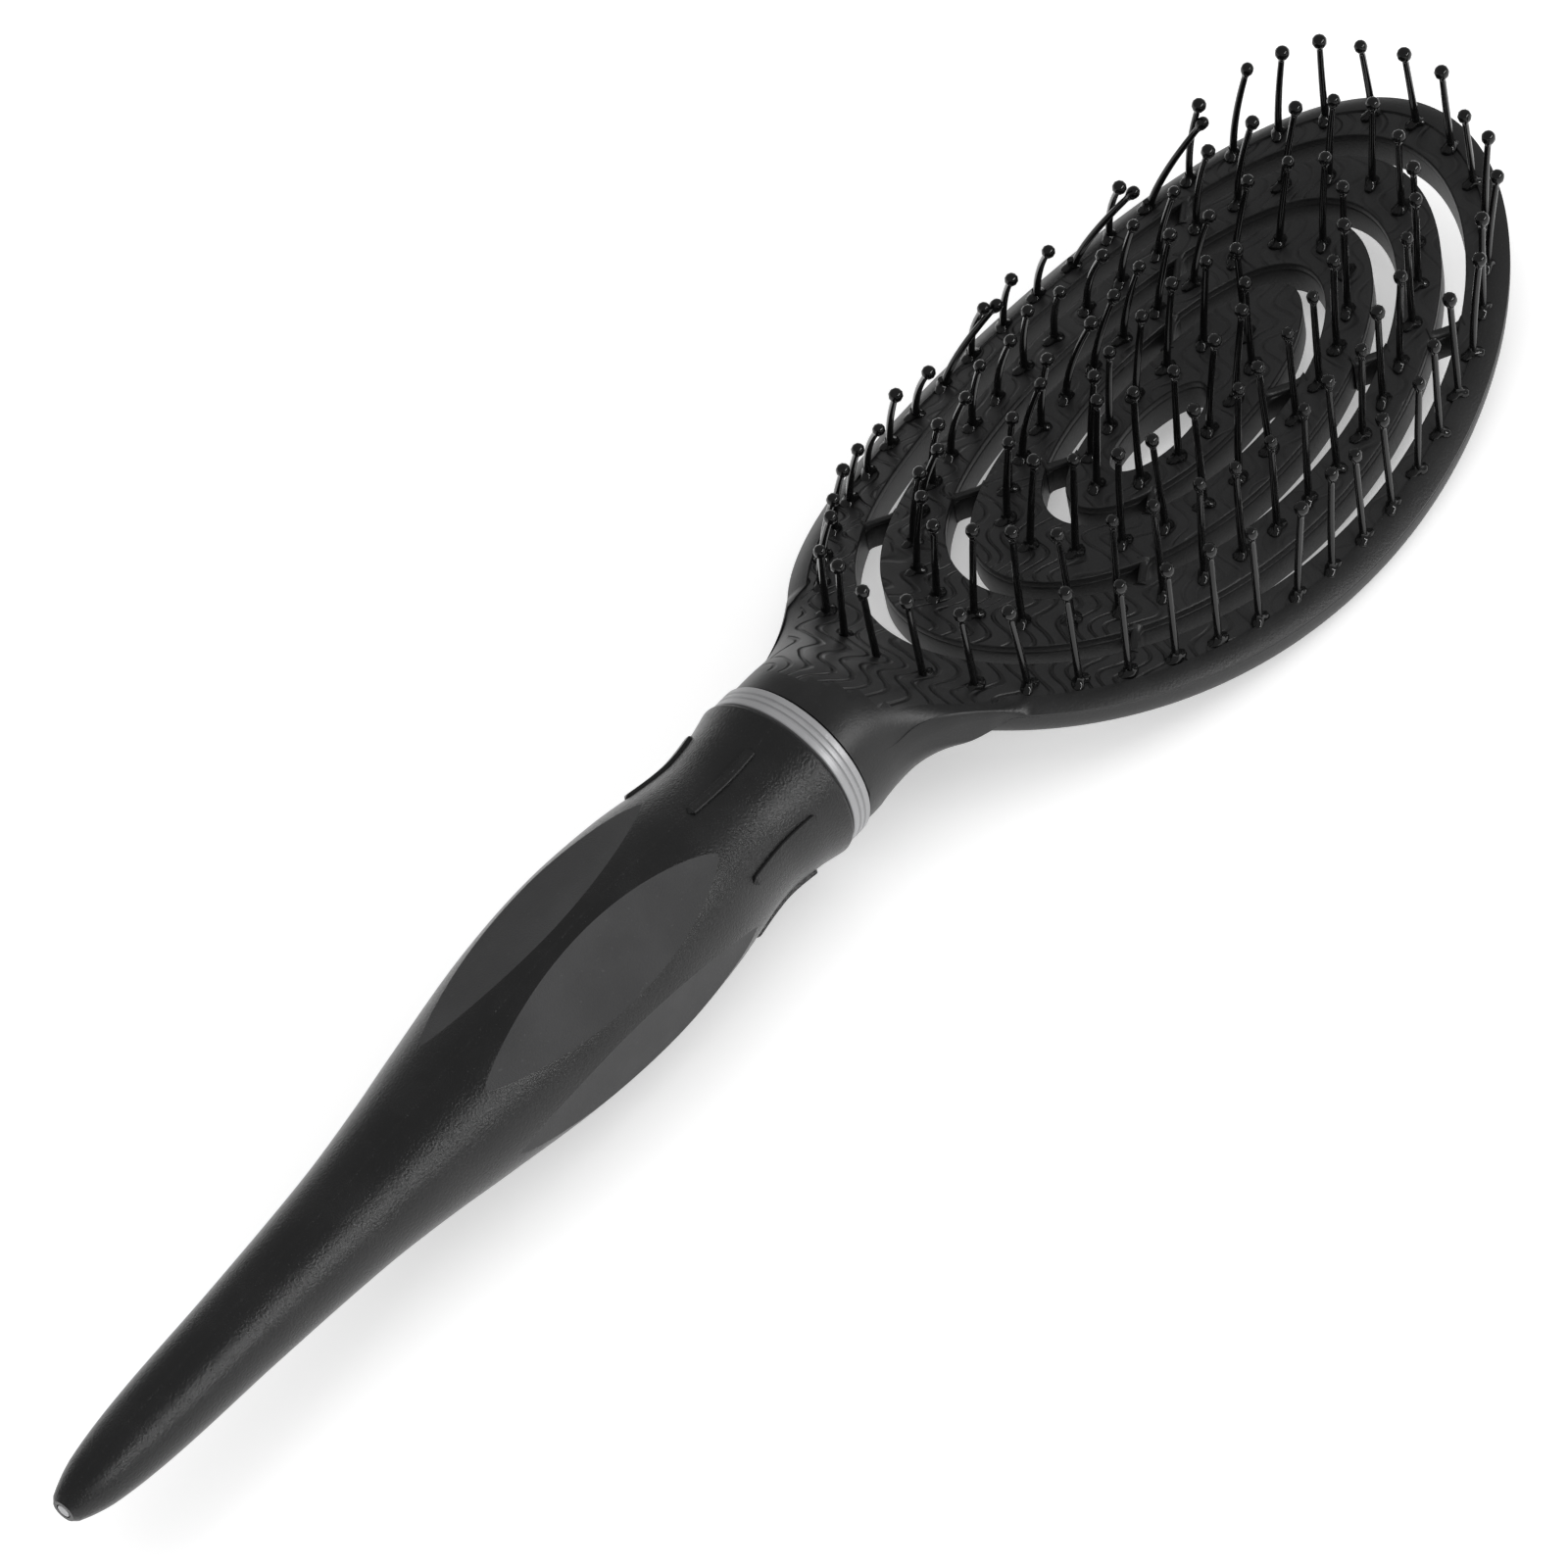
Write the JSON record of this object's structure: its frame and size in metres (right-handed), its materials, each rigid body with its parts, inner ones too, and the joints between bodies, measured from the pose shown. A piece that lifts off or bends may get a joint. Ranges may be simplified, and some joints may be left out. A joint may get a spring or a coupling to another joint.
{
  "type": "vented hair brush",
  "caption": "Oval vented detangling hair brush: open bands carry ball-tipped bristles between two clamped covers, with a grooved collar ring and a tapering faceted grip.",
  "frame": {"origin": "centre of the bounding box's footprint, on the plane of the two rest lands on the head's back", "axes": "+X runs along the handle towards the head's far end, +Z is the way the bristles point, +Y completes the right-handed set"},
  "size_m": [0.25, 0.0642, 0.0315],
  "materials": {
    "head_plastic": "satin moulded, finely textured",
    "back_plastic": "satin moulded",
    "bristle_nylon": "glossy nylon",
    "collar_metal": "satin, finely turned",
    "tang_plastic": "as moulded",
    "grip": "soft touch, fine grain",
    "plug": "satin, pale grey"
  },
  "bodies": {
    "root": {"head_front_cover": "head_plastic", "head_back_cover": "back_plastic", "bristle_ring_rim": "bristle_nylon", "bristle_ring_outer": "bristle_nylon", "bristle_ring_inner": "bristle_nylon", "bristle_ring_core": "bristle_nylon", "collar_ring": "collar_metal", "tang_core": "tang_plastic", "handle_shell": "grip", "tip_plug": "plug"}
  },
  "joints": []
}
